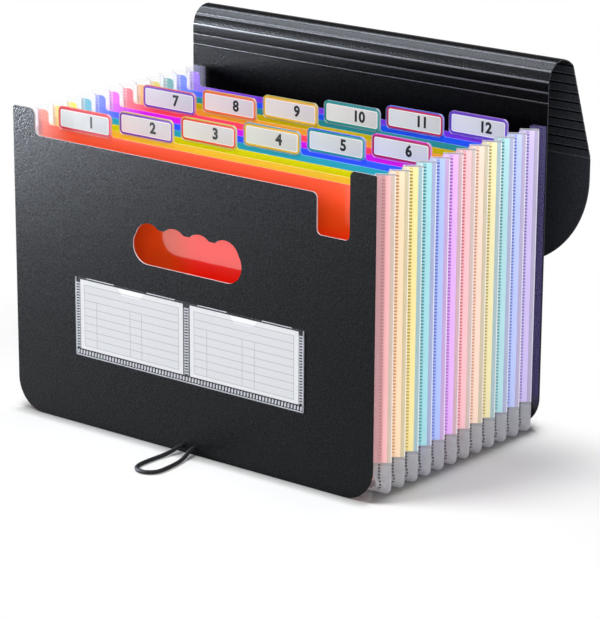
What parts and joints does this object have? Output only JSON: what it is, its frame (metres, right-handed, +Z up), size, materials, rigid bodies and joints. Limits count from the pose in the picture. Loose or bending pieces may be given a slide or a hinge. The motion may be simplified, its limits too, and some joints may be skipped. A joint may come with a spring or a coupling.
{
  "type": "accordion file folder",
  "caption": "Expanding file folder with stiff covers, a pleated translucent gusset, coloured tabbed dividers, a front card holder, a creased flap and an elastic loop.",
  "frame": {"origin": "middle of the back cover's bottom edge, on the surface that the folder stands on", "axes": "+X along the covers to the right seen from the front, +Y from the front cover to the back cover, +Z up"},
  "size_m": [0.33, 0.3143, 0.2735],
  "materials": {
    "black_sheet": "fine sand-grained polypropylene sheet",
    "frosted_sheet": "frosted translucent sheet",
    "clear_film": "clear soft film",
    "paper": "white card",
    "elastic": "braided round elastic",
    "clip_metal": "pressed steel",
    "button": "moulded black plastic",
    "red_sheet": "coloured translucent polypropylene sheet",
    "amber_sheet": "coloured translucent polypropylene sheet",
    "yellow_sheet": "coloured translucent polypropylene sheet",
    "teal_sheet": "coloured translucent polypropylene sheet",
    "blue_sheet": "coloured translucent polypropylene sheet",
    "magenta_sheet": "coloured translucent polypropylene sheet",
    "rose_sheet": "coloured translucent polypropylene sheet",
    "orange_sheet": "coloured translucent polypropylene sheet",
    "green_sheet": "coloured translucent polypropylene sheet",
    "purple_sheet": "coloured translucent polypropylene sheet"
  },
  "bodies": {
    "back": {"back_cover": "black_sheet", "pleated_gusset": "frosted_sheet"},
    "front": {"front_cover": "black_sheet", "card_holder": "clear_film", "elastic_loop": "elastic", "loop_clip": "clip_metal"},
    "pocket_01": {"divider_01": "red_sheet", "tab_sleeve_01": "clear_film", "tab_label_01": "paper"},
    "pocket_02": {"divider_02": "amber_sheet", "tab_sleeve_02": "clear_film", "tab_label_02": "paper"},
    "pocket_03": {"divider_03": "yellow_sheet", "tab_sleeve_03": "clear_film", "tab_label_03": "paper"},
    "pocket_04": {"divider_04": "teal_sheet", "tab_sleeve_04": "clear_film", "tab_label_04": "paper"},
    "pocket_05": {"divider_05": "blue_sheet", "tab_sleeve_05": "clear_film", "tab_label_05": "paper"},
    "pocket_06": {"divider_06": "magenta_sheet", "tab_sleeve_06": "clear_film", "tab_label_06": "paper"},
    "pocket_07": {"divider_07": "rose_sheet", "tab_sleeve_07": "clear_film", "tab_label_07": "paper"},
    "pocket_08": {"divider_08": "orange_sheet", "tab_sleeve_08": "clear_film", "tab_label_08": "paper"},
    "pocket_09": {"divider_09": "yellow_sheet", "tab_sleeve_09": "clear_film", "tab_label_09": "paper"},
    "pocket_10": {"divider_10": "green_sheet", "tab_sleeve_10": "clear_film", "tab_label_10": "paper"},
    "pocket_11": {"divider_11": "blue_sheet", "tab_sleeve_11": "clear_film", "tab_label_11": "paper"},
    "pocket_12": {"divider_12": "purple_sheet", "tab_sleeve_12": "clear_film", "tab_label_12": "paper"},
    "card_left": {"index_card_left": "paper"},
    "card_right": {"index_card_right": "paper"},
    "flap_1": {"flap_strip_1": "black_sheet"},
    "flap_2": {"flap_strip_2": "black_sheet"},
    "flap_3": {"flap_strip_3": "black_sheet"},
    "flap_4": {"flap_strip_4": "black_sheet"},
    "flap_5": {"flap_strip_5": "black_sheet"},
    "flap_6": {"flap_strip_6": "black_sheet"},
    "flap_7": {"flap_strip_7": "black_sheet"},
    "flap_8": {"flap_panel": "black_sheet"},
    "flap_end": {"flap_tongue": "black_sheet", "flap_button": "button", "button_rivet": "button"}
  },
  "joints": [
    {"name": "expand", "type": "slide", "parent": "back", "child": "front", "axis": [0, 1, 0], "range_m": [0, 0.168], "deforming": ["pleated_gusset"]},
    {"name": "pocket_01_slide", "type": "slide", "parent": "back", "child": "pocket_01", "axis": [0, 1, 0], "range_m": [0, 0.15508]},
    {"name": "pocket_02_slide", "type": "slide", "parent": "back", "child": "pocket_02", "axis": [0, 1, 0], "range_m": [0, 0.14216]},
    {"name": "pocket_03_slide", "type": "slide", "parent": "back", "child": "pocket_03", "axis": [0, 1, 0], "range_m": [0, 0.12923]},
    {"name": "pocket_04_slide", "type": "slide", "parent": "back", "child": "pocket_04", "axis": [0, 1, 0], "range_m": [0, 0.11631]},
    {"name": "pocket_05_slide", "type": "slide", "parent": "back", "child": "pocket_05", "axis": [0, 1, 0], "range_m": [0, 0.10339]},
    {"name": "pocket_06_slide", "type": "slide", "parent": "back", "child": "pocket_06", "axis": [0, 1, 0], "range_m": [0, 0.09046]},
    {"name": "pocket_07_slide", "type": "slide", "parent": "back", "child": "pocket_07", "axis": [0, 1, 0], "range_m": [0, 0.07754]},
    {"name": "pocket_08_slide", "type": "slide", "parent": "back", "child": "pocket_08", "axis": [0, 1, 0], "range_m": [0, 0.06462]},
    {"name": "pocket_09_slide", "type": "slide", "parent": "back", "child": "pocket_09", "axis": [0, 1, 0], "range_m": [0, 0.05169]},
    {"name": "pocket_10_slide", "type": "slide", "parent": "back", "child": "pocket_10", "axis": [0, 1, 0], "range_m": [0, 0.03877]},
    {"name": "pocket_11_slide", "type": "slide", "parent": "back", "child": "pocket_11", "axis": [0, 1, 0], "range_m": [0, 0.02585]},
    {"name": "pocket_12_slide", "type": "slide", "parent": "back", "child": "pocket_12", "axis": [0, 1, 0], "range_m": [0, 0.01292]},
    {"name": "card_left_slide", "type": "slide", "parent": "front", "child": "card_left", "axis": [0, 0, 1], "range_m": [0, 0.045]},
    {"name": "card_right_slide", "type": "slide", "parent": "front", "child": "card_right", "axis": [0, 0, 1], "range_m": [0, 0.045]},
    {"name": "flap_fold", "type": "hinge", "parent": "back", "child": "flap_1", "pos_m": [0, 0, 0.244], "axis": [1, 0, 0], "range_deg": [0, 22.5]},
    {"name": "flap_crease_2", "type": "hinge", "parent": "flap_1", "child": "flap_2", "pos_m": [0, 0, 0.2518], "axis": [1, 0, 0], "range_deg": [0, 22.5]},
    {"name": "flap_crease_3", "type": "hinge", "parent": "flap_2", "child": "flap_3", "pos_m": [0, 0, 0.2596], "axis": [1, 0, 0], "range_deg": [0, 43.5]},
    {"name": "flap_crease_4", "type": "hinge", "parent": "flap_3", "child": "flap_4", "pos_m": [0, 0.0028, 0.26688], "axis": [1, 0, 0], "range_deg": [0, 53.5]},
    {"name": "flap_crease_5", "type": "hinge", "parent": "flap_4", "child": "flap_5", "pos_m": [0, 0.00894, 0.27168], "axis": [1, 0, 0], "range_deg": [0, 49.5]},
    {"name": "flap_crease_6", "type": "hinge", "parent": "flap_5", "child": "flap_6", "pos_m": [0, 0.0166, 0.27317], "axis": [1, 0, 0], "range_deg": [0, 50.5]},
    {"name": "flap_crease_7", "type": "hinge", "parent": "flap_6", "child": "flap_7", "pos_m": [0, 0.02406, 0.27089], "axis": [1, 0, 0], "range_deg": [0, 38.5]},
    {"name": "flap_crease_8", "type": "hinge", "parent": "flap_7", "child": "flap_8", "pos_m": [0, 0.0306, 0.26664], "axis": [1, 0, 0], "range_deg": [0, 59.5]},
    {"name": "flap_crease_9", "type": "hinge", "parent": "flap_8", "child": "flap_end", "pos_m": [0, 0.05728, 0.19335], "axis": [1, 0, 0], "range_deg": [0, 20]}
  ],
  "couplings": [
    {"joint": "pocket_01_slide", "follows": "expand", "ratio": 0.92308},
    {"joint": "pocket_02_slide", "follows": "expand", "ratio": 0.84615},
    {"joint": "pocket_03_slide", "follows": "expand", "ratio": 0.76923},
    {"joint": "pocket_04_slide", "follows": "expand", "ratio": 0.69231},
    {"joint": "pocket_05_slide", "follows": "expand", "ratio": 0.61538},
    {"joint": "pocket_06_slide", "follows": "expand", "ratio": 0.53846},
    {"joint": "pocket_07_slide", "follows": "expand", "ratio": 0.46154},
    {"joint": "pocket_08_slide", "follows": "expand", "ratio": 0.38461},
    {"joint": "pocket_09_slide", "follows": "expand", "ratio": 0.30769},
    {"joint": "pocket_10_slide", "follows": "expand", "ratio": 0.23077},
    {"joint": "pocket_11_slide", "follows": "expand", "ratio": 0.15385},
    {"joint": "pocket_12_slide", "follows": "expand", "ratio": 0.076923}
  ]
}
